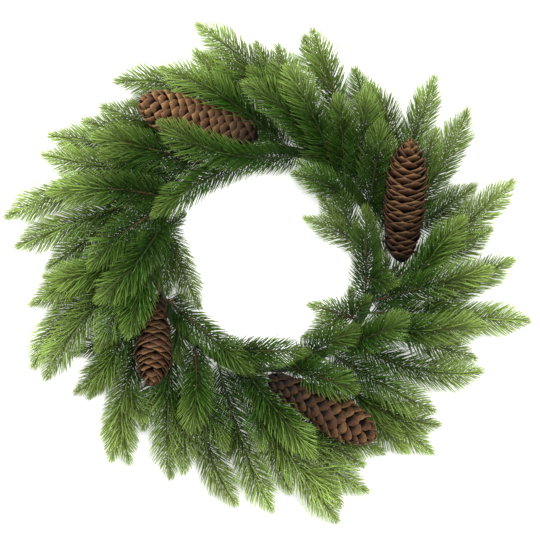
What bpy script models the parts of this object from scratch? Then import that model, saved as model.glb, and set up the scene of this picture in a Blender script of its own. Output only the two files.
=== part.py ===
"""Evergreen advent wreath, lying on its back with its front face up.

A wire hoop carries 54 spruce sprays, many of them forked, and four spruce cones.
Every spray is one wire stem with its side twigs and needles grown out of it.
The shapes are worked out in millimetres around the middle of the hoop, with the
underside of the hoop at z = 0, and each finished mesh is scaled to metres.
"""
import math
from collections import namedtuple

import bpy
import numpy as np
from mathutils.bvhtree import BVHTree

MM = 0.001
UP = np.array((0.0, 0.0, 1.0))

# Gap between pieces that touch, and how far off the hoop's surface is looked for
GAP = 0.3
SEARCH = 12.0

# Hoop: two strands wound round each other, with a flat underside
HOOP_RADIUS = 110.0
WIRE_RADIUS = 4.8
WINDING_DEPTH = 0.6
WINDING_TURNS = 10
HOOP_STEPS = 54
FLAT_HALF_WIDTH = 2.2
SEATS = (-15.0, 30.0, 90.0, 150.0, 195.0)

# Needles: lengths in millimetres, leans in degrees from the stem
NEEDLE_LENGTH = 24.0
TIP_NEEDLE_LENGTH = 13.0
ROOT_NEEDLE_LENGTH = 17.0
NEEDLE_FOOT = 2.2
ROOT_LEAN = 60.0
MIDDLE_LEAN = 50.0
TIP_LEAN = 27.0
SPLAY = 24.0
ROOT_PART = 0.3
TIP_PART = 0.72
NEEDLE_RADIUS = 1.45
POINT_RADIUS = 0.12

# Rows of needles, and the twist from one row to the next
ROOT_SPACING = 18.0
TIP_SPACING = 11.4
SPACING_RAMP = 1.35
LAST_ROW = 6.8
ROW_TWIST = math.radians(30.0)

# How far needles keep from other pieces and from needles of their own spray
CLEARANCE = 0.4
OWN_CLEARANCE = 0.2
TWIG_CLEARANCE = 0.15
SHORT_SHARE = 0.5

# Stems
STEM_ROOT_RADIUS = 1.8
STEM_TIP_RADIUS = 1.25
BARE_LENGTH = 14.0
TIP_MARGIN = 1.6
FAN = 11.0

# Side twigs
TWIG_RADIUS = 1.35
TWIG_BARE_LENGTH = 7.0
TWIG_COLLAR = 1.6
TWIG_TAPER = 0.8
FORK_BAND = 3.4
FORK_PLACE = 0.45

# The open middle of the wreath, which needles are bent clear of
HOLE_X = (-52.0, 22.0)
HOLE_Y = (-60.0, 66.0)
FLOOR = 0.45

Spray = namedtuple("Spray", "hoop_angle seat_angle middle tip forks", defaults=((),))
Fork = namedtuple("Fork", "fraction tip")
Cone = namedtuple("Cone", "name base tip radius rows openness foot_angle")

# Sprays, anticlockwise from the right: where each leaves the hoop, in degrees,
# how far up the wire it sits (0 outside, 90 on top, 180 inside), then the middle
# of its stem and the tip of its foliage, then the side twigs it forks into.
SPRAYS = (
    Spray(2, 20, (164, 78, 18), (198, 147, 26),
          (Fork(0.2, (209, 74, 14)), Fork(0.42, (164, 128, 36)))),
    Spray(6, 150, (74, 24, 32), (36, 39, 30), (Fork(0.35, (65, 76, 38)),)),
    Spray(12, 20, (140, 118, 14), (165, 179, 20)),
    Spray(18, 40, (121, 117, 30), (98, 174, 40), (Fork(0.5, (90, 192, 24)),)),
    Spray(25, 80, (107, 98, 68), (112, 136, 70)),
    Spray(31, 120, (60, 76, 50), (23, 87, 48)),
    Spray(36, 90, (94, 123, 62), (97, 168, 58)),
    Spray(41, 60, (68, 152, 38), (44, 229, 34), (Fork(0.6, (35, 222, 26)),)),
    Spray(46, 90, (73, 125, 63), (68, 162, 66)),
    Spray(50, 110, (42, 145, 84), (17, 190, 76)),
    Spray(54, 90, (22, 141, 66), (-25, 173, 64), (Fork(0.4, (-19, 189, 54)),)),
    Spray(59, 80, (32, 152, 52), (9, 212, 46)),
    Spray(64, 60, (4, 170, 40), (-68, 233, 34), (Fork(0.3, (-12, 216, 20)),)),
    Spray(71, 105, (-40, 102, 72), (-107, 134, 74)),
    Spray(78, 90, (-40, 157, 54), (-107, 188, 46)),
    Spray(84, 45, (-35, 158, 27), (-73, 208, 26), (Fork(0.42, (-46, 191, 38)),)),
    Spray(89, 120, (-50, 90, 50), (-118, 60, 62)),
    Spray(98, 10, (-68, 164, 14), (-153, 177, 18)),
    Spray(112, 40, (-108, 130, 18), (-166, 152, 24), (Fork(0.4, (-218, 122, 14)),)),
    Spray(122, 80, (-123, 110, 46), (-175, 121, 42), (Fork(0.3, (-167, 102, 56)),)),
    Spray(129, 45, (-156, 91, 28), (-224, 104, 26)),
    Spray(138, 30, (-174, 71, 20), (-261, 41, 22)),
    Spray(143, 60, (-165, 44, 36), (-244, 8, 28), (Fork(0.35, (-210, 1, 14)),)),
    Spray(148, 90, (-148, 68, 56), (-218, 65, 46)),
    Spray(153, 75, (-138, 27, 62), (-176, -12, 58)),
    Spray(157, 100, (-125, -2, 76), (-168, -44, 68), (Fork(0.45, (-162, -88, 56)),)),
    Spray(161, 130, (-86, 2, 34), (-70, -50, 30)),
    Spray(165, 75, (-163, -10, 46), (-218, -16, 42)),
    Spray(170, 45, (-170, -10, 26), (-223, -45, 28), (Fork(0.5, (-234, -53, 14)),)),
    Spray(175, 20, (-188, -44, 13), (-234, -110, 14)),
    Spray(180, 60, (-176, -54, 40), (-220, -120, 30)),
    Spray(187, 30, (-150, -92, 17), (-190, -134, 28), (Fork(0.5, (-177, -139, 12)),)),
    Spray(201, 110, (-54, -71, 48), (-12, -111, 46)),
    Spray(208, 15, (-140, -127, 16), (-136, -204, 22),
          (Fork(0.5, (-120, -162, 38)), Fork(0.55, (-155, -202, 12)))),
    Spray(218, 40, (-98, -142, 24), (-94, -218, 24), (Fork(0.4, (-81, -214, 34)),)),
    Spray(229, 90, (-69, -130, 60), (-76, -172, 54)),
    Spray(235, 20, (-63, -172, 14), (-30, -246, 16)),
    Spray(240, 120, (-12, -93, 56), (40, -96, 54)),
    Spray(244, 50, (-26, -185, 28), (3, -250, 26)),
    Spray(252, 65, (20, -189, 40), (71, -261, 30),
          (Fork(0.3, (23, -233, 20)), Fork(0.62, (75, -244, 42)))),
    Spray(257, 95, (11, -150, 64), (48, -195, 60), (Fork(0.3, (-6, -188, 52)),)),
    Spray(263, 30, (32, -179, 18), (101, -232, 20), (Fork(0.5, (98, -204, 26)),)),
    Spray(282, 95, (52, -115, 74), (91, -129, 68)),
    Spray(287, 125, (56, -84, 62), (94, -67, 58)),
    Spray(297, 25, (106, -146, 16), (173, -165, 24), (Fork(0.35, (166, -193, 14)),)),
    Spray(304, 70, (112, -123, 46), (160, -144, 42)),
    Spray(310, 100, (107, -73, 74), (138, -53, 68)),
    Spray(315, 45, (144, -108, 34), (215, -111, 32)),
    Spray(320, 85, (152, -70, 58), (216, -65, 50), (Fork(0.35, (207, -99, 46)),)),
    Spray(326, 130, (66, -50, 36), (41, -41, 32)),
    Spray(332, 25, (180, -57, 22), (260, -61, 22), (Fork(0.5, (245, 1, 18)),)),
    Spray(337, 80, (164, -25, 54), (223, -10, 48), (Fork(0.3, (194, 42, 64)),)),
    Spray(342, 50, (174, 16, 34), (244, 78, 32)),
    Spray(340, 120, (88, 2, 50), (96, 54, 48), (Fork(0.3, (128, -26, 62)),)),
)

# Cones: the stalk end, the tip, the widest radius, rows of scales, how far the
# scales stand open, and where the stalk meets the hoop.
CONES = (
    Cone("cone_top_left", (-9, 115, 40), (-122, 153, 54), 21.0, 9, 0.14, 95),
    Cone("cone_right", (131, -4, 33), (139, 114, 84), 22.5, 10, 0.12, 355),
    Cone("cone_lower_left", (-111, -28, 32), (-112, -121, 74), 20.0, 9, 0.12, 190),
    Cone("cone_bottom", (0, -116, 44), (105, -178, 46), 22.0, 8, 0.24, 268),
)
CONE_SIDES = 10
CREST_AHEAD = 0.12
NOTCH_BEHIND = 0.2
TOP_ROW = 0.35
STALK_RADIUS = 1.6
STALK_STEPS = 4
STALK_BEND = 14.0
STALK_GAP = 0.48

# Colours as linear red, green and blue
HOOP_COLOUR = (0.045, 0.042, 0.025)
SPRAY_COLOUR = (0.07, 0.16, 0.035)
CONE_COLOUR = (0.14, 0.065, 0.035)


def clear_scene():
    """Remove whatever the scene holds already."""
    for thing in list(bpy.data.objects):
        bpy.data.objects.remove(thing, do_unlink=True)


def make_material(name, colour, roughness, metallic=0.0):
    """A plain Principled material."""
    material = bpy.data.materials.new(name)
    material.use_nodes = True
    shader = material.node_tree.nodes["Principled BSDF"]
    shader.inputs["Base Color"].default_value = (*colour, 1.0)
    shader.inputs["Roughness"].default_value = roughness
    shader.inputs["Metallic"].default_value = metallic
    material.diffuse_color = (*colour, 1.0)
    return material


def make_object(name, points, faces, material, parent):
    """A mesh object from points in millimetres, under the wreath's empty."""
    mesh = bpy.data.meshes.new(name)
    mesh.from_pydata([tuple(np.asarray(p) * MM) for p in points], [], faces)
    mesh.materials.append(material)
    mesh.update()
    thing = bpy.data.objects.new(name, mesh)
    bpy.context.collection.objects.link(thing)
    thing.parent = parent
    return thing


def unit(vector):
    """The vector at length 1."""
    return vector / np.linalg.norm(vector)


def around_hoop(hoop_angle, seat_angle, reach):
    """A point round the wire: reach millimetres from its centre line."""
    turn = math.radians(hoop_angle)
    seat = math.radians(seat_angle)
    outward = np.array((math.cos(turn), math.sin(turn), 0.0))
    centre = outward * HOOP_RADIUS + UP * WIRE_RADIUS
    return centre + reach * (math.cos(seat) * outward + math.sin(seat) * UP)


def hoop_geometry():
    """The hoop: two wound strands as a twisting oval, with a flat underside."""
    points = []
    for step in range(HOOP_STEPS):
        angle = 360.0 * step / HOOP_STEPS
        turn = math.radians(angle)
        outward = np.array((math.cos(turn), math.sin(turn), 0.0))
        points.append(outward * (HOOP_RADIUS - FLAT_HALF_WIDTH))
        points.append(outward * (HOOP_RADIUS + FLAT_HALF_WIDTH))
        for seat in SEATS:
            wave = math.cos(2.0 * math.radians(seat) - WINDING_TURNS * turn)
            points.append(around_hoop(angle, seat, WIRE_RADIUS + WINDING_DEPTH * wave))
    sides = 2 + len(SEATS)
    faces = []
    for step in range(HOOP_STEPS):
        here = step * sides
        ahead = (step + 1) % HOOP_STEPS * sides
        for side in range(sides):
            after = (side + 1) % sides
            faces.append((here + side, ahead + side, here + after))
            faces.append((ahead + side, ahead + after, here + after))
    return points, faces


def quadratic(start, control, end, fraction):
    """A point on the curve from start to end that control pulls on."""
    rest = 1.0 - fraction
    return start * rest ** 2 + control * 2 * rest * fraction + end * fraction ** 2


class Path:
    """A smooth stem line, measured along its length, with a frame carried along it."""

    SAMPLES = 60

    def __init__(self, start, control, end):
        fractions = np.linspace(0.0, 1.0, self.SAMPLES + 1)
        self.points = np.array([quadratic(start, control, end, f) for f in fractions])
        steps = np.linalg.norm(np.diff(self.points, axis=0), axis=1)
        self.lengths = np.concatenate(([0.0], np.cumsum(steps)))
        self.length = float(self.lengths[-1])
        self.tangents = [unit(t) for t in np.gradient(self.points, axis=0)]
        normal = unit(np.cross(UP, self.tangents[0]))
        self.normals = []
        for tangent in self.tangents:
            normal = unit(normal - tangent * float(normal @ tangent))
            self.normals.append(normal)

    def at(self, distance):
        """Point, tangent and normal at a distance along the stem."""
        place = float(np.interp(distance, self.lengths, np.arange(self.SAMPLES + 1)))
        low = min(int(place), self.SAMPLES - 1)
        part = place - low
        point = self.points[low] * (1 - part) + self.points[low + 1] * part
        tangent = unit(self.tangents[low] * (1 - part) + self.tangents[low + 1] * part)
        normal = self.normals[low] * (1 - part) + self.normals[low + 1] * part
        return point, tangent, unit(normal - tangent * float(normal @ tangent))


class Obstacles:
    """Tapered rods that new needles keep clear of."""

    def __init__(self):
        self.starts = np.zeros((0, 3))
        self.ends = np.zeros((0, 3))
        self.start_radii = np.zeros(0)
        self.end_radii = np.zeros(0)
        self.owners = np.zeros(0, dtype=int)
        self.stems = np.zeros(0, dtype=int)
        self.rows = np.zeros(0, dtype=int)

    def add(self, starts, ends, start_radii, end_radii, owner, stem=0, row=-1):
        """Add rods of one owner's stem, or of one ring of its needles."""
        count = len(starts)
        self.starts = np.vstack((self.starts, starts))
        self.ends = np.vstack((self.ends, ends))
        self.start_radii = np.concatenate((self.start_radii, np.resize(start_radii, count)))
        self.end_radii = np.concatenate((self.end_radii, np.resize(end_radii, count)))
        self.owners = np.concatenate((self.owners, np.full(count, owner)))
        self.stems = np.concatenate((self.stems, np.full(count, stem)))
        self.rows = np.concatenate((self.rows, np.full(count, row)))

    def clearances(self, start, end, start_radius, end_radius):
        """Distance from one rod's surface to every other rod's surface."""
        first = end - start
        seconds = self.ends - self.starts
        between = start - self.starts
        a = float(first @ first)
        e = np.einsum("ij,ij->i", seconds, seconds)
        f = np.einsum("ij,ij->i", seconds, between)
        c = between @ first
        b = seconds @ first
        denominator = np.maximum(a * e - b * b, 1e-9)
        s = np.clip((b * f - c * e) / denominator, 0.0, 1.0)
        t = (b * s + f) / e
        s = np.where(t < 0.0, np.clip(-c / a, 0.0, 1.0), s)
        s = np.where(t > 1.0, np.clip((b - c) / a, 0.0, 1.0), s)
        t = np.clip(t, 0.0, 1.0)
        nearest = start + s[:, None] * first
        other = self.starts + t[:, None] * seconds
        distance = np.linalg.norm(nearest - other, axis=1)
        own = start_radius + (end_radius - start_radius) * s
        theirs = self.start_radii + (self.end_radii - self.start_radii) * t
        return distance - own - theirs


class Growth:
    """One spray's mesh while it grows: points, faces and the needles still to come."""

    def __init__(self, number):
        self.number = number
        self.points = []
        self.faces = []
        self.buds = []
        self.row = 0
        self.stem = 0

    def add_ring(self, centre, tangent, normal, radius, turn):
        """Three points round a stem, and their numbers."""
        binormal = np.cross(tangent, normal)
        first = len(self.points)
        for corner in range(3):
            angle = turn + corner * math.tau / 3
            offset = math.cos(angle) * normal + math.sin(angle) * binormal
            self.points.append(centre + radius * offset)
        return (first, first + 1, first + 2)

    def band(self, low, high):
        """The six triangles between two rings, each with the side way it leans."""
        triangles = []
        for side in range(3):
            after = (side + 1) % 3
            triangles.append(((low[side], low[after], high[side]), side, -1))
            triangles.append(((low[after], high[after], high[side]), side, 1))
        return triangles

    def middle_of(self, triangle):
        """The centre of a triangle."""
        return sum(self.points[corner] for corner in triangle) / 3.0

    def facing_of(self, triangle):
        """The way a triangle faces."""
        first, second, third = (self.points[corner] for corner in triangle)
        return unit(np.cross(second - first, third - first))

    def poke(self, triangle, apex):
        """Raise a triangle to a point."""
        tip = len(self.points)
        self.points.append(apex)
        first, second, third = triangle
        self.faces += [(first, second, tip), (second, third, tip), (third, first, tip)]


Bud = namedtuple("Bud", "triangle centre tangent outward sideways length lean owner row stem")


def stations(path, bare, forks):
    """Where along a stem its rings sit, what grows on the band after each, and whose."""
    marks = [(0.0, "gap", None)]
    distance = bare
    waiting = sorted(forks, key=lambda fork: fork.fraction)
    while distance < path.length - LAST_ROW:
        marks.append((distance, "needles", None))
        marks.append((distance + NEEDLE_FOOT, "gap", None))
        ramp = min(1.0, distance / path.length * SPACING_RAMP)
        spacing = ROOT_SPACING + (TIP_SPACING - ROOT_SPACING) * ramp
        following = distance + spacing
        if waiting and waiting[0].fraction * path.length < following:
            middle = distance + NEEDLE_FOOT + FORK_PLACE * (spacing - NEEDLE_FOOT)
            marks.append((middle - FORK_BAND / 2, "fork", waiting.pop(0)))
            marks.append((middle + FORK_BAND / 2, "gap", None))
        distance = following
    marks.append((path.length - TIP_MARGIN, "end", None))
    return marks


def needle_shape(part):
    """Length and lean of a needle at a fraction of the way along its stem."""
    if part < ROOT_PART:
        blend = part / ROOT_PART
        length = ROOT_NEEDLE_LENGTH + (NEEDLE_LENGTH - ROOT_NEEDLE_LENGTH) * blend
        lean = ROOT_LEAN + (MIDDLE_LEAN - ROOT_LEAN) * blend
        return length, lean
    blend = max(0.0, (part - TIP_PART) / (1.0 - TIP_PART))
    length = NEEDLE_LENGTH + (TIP_NEEDLE_LENGTH - NEEDLE_LENGTH) * blend ** 1.4
    lean = MIDDLE_LEAN + (TIP_LEAN - MIDDLE_LEAN) * blend
    return length, lean


def grow_stem(growth, path, base, radii, bare, forks, turn):
    """Build a stem up from a ring of three points, and say where its twigs start."""
    marks = stations(path, bare, forks)
    sockets = []
    low = base
    for index in range(len(marks) - 1):
        distance, kind, fork = marks[index]
        beyond = marks[index + 1][0]
        point, tangent, normal = path.at(beyond)
        radius = radii[0] + (radii[1] - radii[0]) * beyond / path.length
        if kind == "gap" and index > 0:
            turn += ROW_TWIST
        high = growth.add_ring(point, tangent, normal, radius, turn)
        triangles = growth.band(low, high)
        middle, tangent, normal = path.at((distance + beyond) / 2)
        if kind == "needles":
            part = (distance + beyond) / 2 / path.length
            add_buds(growth, triangles, tangent, normal, turn, part)
        else:
            chosen = None
            if kind == "fork":
                chosen = fork_triangle(growth, triangles, middle, fork)
                sockets.append((chosen, tangent, fork))
            growth.faces += [triangle for triangle, _, _ in triangles if triangle is not chosen]
        low = high
    point, tangent, _ = path.at(path.length)
    growth.poke(low, point + tangent * TIP_NEEDLE_LENGTH)
    return sockets


def add_buds(growth, triangles, tangent, normal, turn, part):
    """Note one needle still to come on each triangle of a band."""
    binormal = np.cross(tangent, normal)
    length, lean = needle_shape(part)
    for triangle, side, leaning in triangles:
        azimuth = turn + math.radians(60.0 + 120.0 * side)
        outward = math.cos(azimuth) * normal + math.sin(azimuth) * binormal
        sideways = leaning * (-math.sin(azimuth) * normal + math.cos(azimuth) * binormal)
        centre = growth.middle_of(triangle)
        growth.buds.append(Bud(triangle, centre, tangent, outward, sideways,
                               length, lean, growth.number, growth.row, growth.stem))
    growth.row += 1


def stem_end(before, foliage_tip):
    """Where a stem stops, so that the needles of its fan end at the foliage's tip."""
    tip = np.array(foliage_tip, dtype=float)
    return tip - unit(tip - before) * FAN


def fork_triangle(growth, triangles, middle, fork):
    """The triangle of a band that best faces where its side twig is going."""
    heading = unit(np.array(fork.tip, dtype=float) - middle)
    return max((triangle for triangle, _, _ in triangles),
               key=lambda triangle: float(growth.facing_of(triangle) @ heading))


def fork_path(growth, triangle, tangent, fork):
    """A side twig's line: out of its triangle at a slant, then on to its tip."""
    centre = growth.middle_of(triangle)
    tip = stem_end(centre, fork.tip)
    reach = np.linalg.norm(tip - centre)
    leaving = unit(0.55 * tangent + 0.85 * growth.facing_of(triangle))
    return Path(centre, centre + leaving * reach * 0.3, tip)


def grow_fork(growth, triangle, tangent, fork):
    """A side twig, extruded from one triangle of its parent stem."""
    path = fork_path(growth, triangle, tangent, fork)
    centre = growth.middle_of(triangle)
    _, leaving, _ = path.at(0.0)
    first = []
    for corner in triangle:
        first.append(len(growth.points))
        spoke = (growth.points[corner] - centre) * TWIG_TAPER
        growth.points.append(centre + spoke + leaving * TWIG_COLLAR)
    growth.faces += [inner for inner, _, _ in growth.band(triangle, first)]
    turn = ring_turn(path, 5.0, growth.points[first[0]] - centre)
    grow_stem(growth, path, first, (TWIG_RADIUS, STEM_TIP_RADIUS), TWIG_BARE_LENGTH, (), turn)
    return path


def ring_turn(path, distance, spoke):
    """The turn, in a stem's own frame, that a spoke of its first ring has."""
    _, tangent, normal = path.at(distance)
    return math.atan2(float(spoke @ np.cross(tangent, normal)), float(spoke @ normal))


def root_of(spray, hoop_tree):
    """Where a spray's stem starts, GAP clear of the hoop's surface."""
    far = around_hoop(spray.hoop_angle, spray.seat_angle, WIRE_RADIUS * 4)
    centre = around_hoop(spray.hoop_angle, spray.seat_angle, 0.0)
    inward = unit(centre - far)
    hit, _, _, _ = hoop_tree.ray_cast(tuple(far), tuple(inward))
    return np.array(hit) - inward * GAP, -inward


def spray_path(spray, root):
    """The line of a spray's stem, through its middle point."""
    middle = np.array(spray.middle, dtype=float)
    tip = stem_end(middle, spray.tip)
    return Path(root, 2.0 * middle - (root + tip) / 2.0, tip)


def start_spray(number, spray, hoop_tree):
    """The stem and side twigs of one spray, seated on the hoop."""
    growth = Growth(number)
    root, outward = root_of(spray, hoop_tree)
    path = spray_path(spray, root)
    along_wire = around_hoop(spray.hoop_angle + 90.0, 0.0, 0.0) - UP * WIRE_RADIUS
    base = growth.add_ring(root, outward, unit(along_wire), STEM_ROOT_RADIUS, 0.0)
    lift = seat_lift(growth, base, outward, hoop_tree)
    for corner in base:
        growth.points[corner] = growth.points[corner] + outward * lift
    growth.faces.append((base[2], base[1], base[0]))
    turn = ring_turn(path, 3.0, growth.points[base[0]] - root)
    sockets = grow_stem(growth, path, base, (STEM_ROOT_RADIUS, STEM_TIP_RADIUS), BARE_LENGTH,
                        spray.forks, turn)
    paths = [path]
    for triangle, tangent, fork in sockets:
        growth.stem += 1
        paths.append(grow_fork(growth, triangle, tangent, fork))
    return growth, paths


def seat_lift(growth, base, outward, hoop_tree):
    """How far to raise a stem's foot so that all of it just clears the hoop."""
    corners = [growth.points[corner] for corner in base]
    lift = 0.0
    for first in range(7):
        for second in range(7 - first):
            shares = (first / 6, second / 6, (6 - first - second) / 6)
            sample = sum(share * corner for share, corner in zip(shares, corners))
            start = sample + outward * SEARCH
            _, _, _, depth = hoop_tree.ray_cast(tuple(start), tuple(-outward))
            if depth is not None:
                lift = max(lift, GAP + SEARCH - depth)
    return lift


def path_rods(path, radii):
    """A stem as a chain of rods."""
    pieces = max(4, int(path.length / 8.0))
    distances = np.linspace(0.0, path.length, pieces + 1)
    points = np.array([path.at(d)[0] for d in distances])
    sizes = np.interp(distances, (0.0, path.length), radii)
    return points[:-1], points[1:], sizes[:-1], sizes[1:]


def inside_hole(points):
    """Whether any of the points lies in the open middle."""
    for x, y, _ in points:
        if HOLE_X[0] < x < HOLE_X[1] and HOLE_Y[0] < y < HOLE_Y[1]:
            return True
    return False


def needle_choices():
    """Ways to set a needle, the natural one first: turn, lean and length."""
    choices = []
    for share in (1.0, 0.86, 0.72, 0.58, 0.44, 0.3):
        for lean_change in (0.0, -11.0, 11.0):
            for turn in (0.0, 10.0, -10.0, 20.0, -20.0):
                choices.append((turn, lean_change, share))
    return choices


def is_clear(obstacles, start, end, bud):
    """Whether a needle clears the floor, the open middle and everything placed."""
    if end[2] < FLOOR:
        return False
    if inside_hole((end, (start + end) / 2)):
        return False
    clear = obstacles.clearances(start, end, NEEDLE_RADIUS, POINT_RADIUS)
    theirs = obstacles.owners != bud.owner
    if np.any(clear[theirs] < CLEARANCE):
        return False
    span = end - start
    beyond = start + span * min(0.5, 4.0 / np.linalg.norm(span))
    own = obstacles.clearances(beyond, end, NEEDLE_RADIUS * 0.83, POINT_RADIUS)
    if np.any(own[(~theirs) & (obstacles.rows != bud.row)] < OWN_CLEARANCE):
        return False
    outer = obstacles.clearances(start + span * 0.3, end, NEEDLE_RADIUS * 0.7, POINT_RADIUS)
    if np.any(outer[(~theirs) & (obstacles.rows == bud.row)] < OWN_CLEARANCE):
        return False
    return not np.any(clear[(~theirs) & (obstacles.stems != bud.stem)] < TWIG_CLEARANCE)


def set_needles(growth, obstacles, choices):
    """Raise each bud to a needle, bent or shortened where something is in the way."""
    short = 0
    for bud in growth.buds:
        for turn, lean_change, share in choices:
            swing = math.radians(SPLAY + turn)
            side = math.cos(swing) * bud.outward + math.sin(swing) * bud.sideways
            lean = math.radians(bud.lean + lean_change)
            heading = math.cos(lean) * bud.tangent + math.sin(lean) * side
            apex = bud.centre + heading * bud.length * share
            if is_clear(obstacles, bud.centre, apex, bud):
                growth.poke(bud.triangle, apex)
                obstacles.add([bud.centre], [apex], NEEDLE_RADIUS, POINT_RADIUS,
                              bud.owner, bud.stem, bud.row)
                short += share < SHORT_SHARE
                break
        else:
            growth.faces.append(bud.triangle)
            short += 1
    return short


def cone_radius(cone, along):
    """A cone's outline: quick to fill out at its stalk, slow to close at its tip."""
    fill = min(1.0, math.sin(math.pi * min(0.5, along * 1.7 + 0.05)) ** 0.7)
    close = 1.0 - max(0.0, (along - 0.52) / 0.48) ** 2.3 * 0.72
    return cone.radius * fill * close


def cone_ring(centre, axis, across, radii, ahead):
    """A ring of points round an axis, each at its own radius and its own way ahead."""
    side = unit(across - axis * float(across @ axis))
    over = np.cross(axis, side)
    ring = []
    for step in range(CONE_SIDES):
        angle = step * math.tau / CONE_SIDES
        spoke = math.cos(angle) * side + math.sin(angle) * over
        ring.append(centre + spoke * radii[step] + axis * ahead[step])
    return ring


def cone_stalk(cone, axis, hoop_tree):
    """The line of a cone's wire stalk, from just above the hoop to the cone's base."""
    base = np.array(cone.base, dtype=float)
    far = around_hoop(cone.foot_angle, 90.0, WIRE_RADIUS * 4)
    hit, _, _, _ = hoop_tree.ray_cast(tuple(far), tuple(-UP))
    return Path(np.array(hit) + UP * STALK_GAP, base - axis * STALK_BEND + UP * 2.0, base)


def cone_geometry(cone, hoop_tree):
    """A cone as rows of overlapping scales by formula, on its wire stalk."""
    base = np.array(cone.base, dtype=float)
    tip = np.array(cone.tip, dtype=float)
    axis = unit(tip - base)
    length = float(np.linalg.norm(tip - base))
    across = np.cross(UP, axis)
    level = [0.0] * CONE_SIDES
    stalk = cone_stalk(cone, axis, hoop_tree)
    points = []
    for step in range(STALK_STEPS):
        centre, tangent, _ = stalk.at(stalk.length * step / STALK_STEPS)
        if step == 0:
            tangent = UP
        points += cone_ring(centre, tangent, across, [STALK_RADIUS] * CONE_SIDES, level)
    points += cone_ring(base, axis, across, [STALK_RADIUS * 1.2] * CONE_SIDES, level)
    rows = cone.rows + TOP_ROW
    for row in range(cone.rows):
        start = (row + 0.08) / rows
        finish = (row + 1.0) / rows
        valley = cone_radius(cone, start) * (1.0 - cone.openness)
        middle = base + axis * length * start
        points += cone_ring(middle, axis, across, [valley] * CONE_SIDES, level)
        lip = cone_radius(cone, finish)
        radii = []
        ahead = []
        for step in range(CONE_SIDES):
            crest = (step + row) % 2 == 0
            radii.append(lip * (1.0 if crest else 1.0 - 0.45 * cone.openness))
            ahead.append(length / rows * (CREST_AHEAD if crest else -NOTCH_BEHIND))
        middle = base + axis * length * (finish - 0.012)
        points += cone_ring(middle, axis, across, radii, ahead)
    points.append(tip)
    rings = (len(points) - 1) // CONE_SIDES
    faces = [tuple(range(CONE_SIDES))[::-1]]
    for number in range(rings - 1):
        low = number * CONE_SIDES
        high = low + CONE_SIDES
        for step in range(CONE_SIDES):
            after = (step + 1) % CONE_SIDES
            faces.append((low + step, low + after, high + step))
            faces.append((low + after, high + after, high + step))
    last = (rings - 1) * CONE_SIDES
    for step in range(CONE_SIDES):
        faces.append((last + step, last + (step + 1) % CONE_SIDES, len(points) - 1))
    return points, faces, stalk


def cone_rods(cone):
    """A cone's body as a chain of rods."""
    base = np.array(cone.base, dtype=float)
    tip = np.array(cone.tip, dtype=float)
    parts = np.linspace(0.0, 1.0, 11)
    points = np.array([base + (tip - base) * part for part in parts])
    radii = np.array([cone_radius(cone, part) + 0.4 for part in parts])
    return points[:-1], points[1:], radii[:-1], radii[1:]


def hoop_rods():
    """The hoop as a chain of rods."""
    angles = np.linspace(0.0, 360.0, HOOP_STEPS + 1)
    points = np.array([around_hoop(angle, 0.0, 0.0) for angle in angles])
    radius = WIRE_RADIUS + WINDING_DEPTH
    return points[:-1], points[1:], radius, radius


def main():
    """Build the wreath and stand it on the middle of its base."""
    clear_scene()
    wreath = bpy.data.objects.new("wreath", None)
    bpy.context.collection.objects.link(wreath)
    wire = make_material("wound_wire", HOOP_COLOUR, 0.6)
    green = make_material("spruce_needles", SPRAY_COLOUR, 0.55)
    brown = make_material("cone_scales", CONE_COLOUR, 0.75)
    obstacles = Obstacles()

    points, faces = hoop_geometry()
    hoop_tree = BVHTree.FromPolygons([tuple(p) for p in points], faces)
    hoop = make_object("hoop", points, faces, wire, wreath)
    hoop.data.shade_smooth()
    obstacles.add(*hoop_rods(), -1)
    made = [hoop]

    for number, cone in enumerate(CONES):
        points, faces, stalk = cone_geometry(cone, hoop_tree)
        made.append(make_object(cone.name, points, faces, brown, wreath))
        obstacles.add(*cone_rods(cone), -2 - number)
        obstacles.add(*path_rods(stalk, (STALK_RADIUS, STALK_RADIUS)), -2 - number)

    growths = []
    for number, spray in enumerate(SPRAYS):
        growth, paths = start_spray(number, spray, hoop_tree)
        growths.append(growth)
        for stem, path in enumerate(paths):
            radii = (STEM_ROOT_RADIUS, STEM_TIP_RADIUS)
            obstacles.add(*path_rods(path, radii), number, stem)
            end, tangent, _ = path.at(path.length)
            point = end + tangent * TIP_NEEDLE_LENGTH
            obstacles.add([end], [point], STEM_TIP_RADIUS, POINT_RADIUS, number, stem)

    choices = needle_choices()
    short = 0
    for number, growth in enumerate(growths):
        short += set_needles(growth, obstacles, choices)
        name = "spray_%02d" % (number + 1)
        made.append(make_object(name, growth.points, growth.faces, green, wreath))

    corners = np.array([vertex.co for thing in made for vertex in thing.data.vertices])
    low = corners.min(axis=0)
    high = corners.max(axis=0)
    wreath.location = (-(low[0] + high[0]) / 2, -(low[1] + high[1]) / 2, -low[2])
    triangles = sum(len(polygon.vertices) - 2 for thing in made for polygon in thing.data.polygons)
    print("size in mm:", np.round((high - low) / MM, 1))
    print("objects:", len(made), "triangles:", triangles, "short needles:", short)


main()
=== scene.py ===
# %% [markdown]
# # An evergreen wreath with spruce cones
#
# The wreath lies on its back on a table with its face up, and the camera looks straight
# down on it. The CAD model holds what carries it: a wire hoop, 54 sprays with coarse
# needles and four cones built of a few rows. Here each of them gets its real surface.
# Needles, scales and wire turns repeat by a rule, so Geometry Nodes makes them, and the
# result of each tree is turned into one plain mesh for each node that it replaces.

# %% Load the frame
import math
from collections import namedtuple

import bpy
from mathutils import Matrix, Vector


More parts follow.
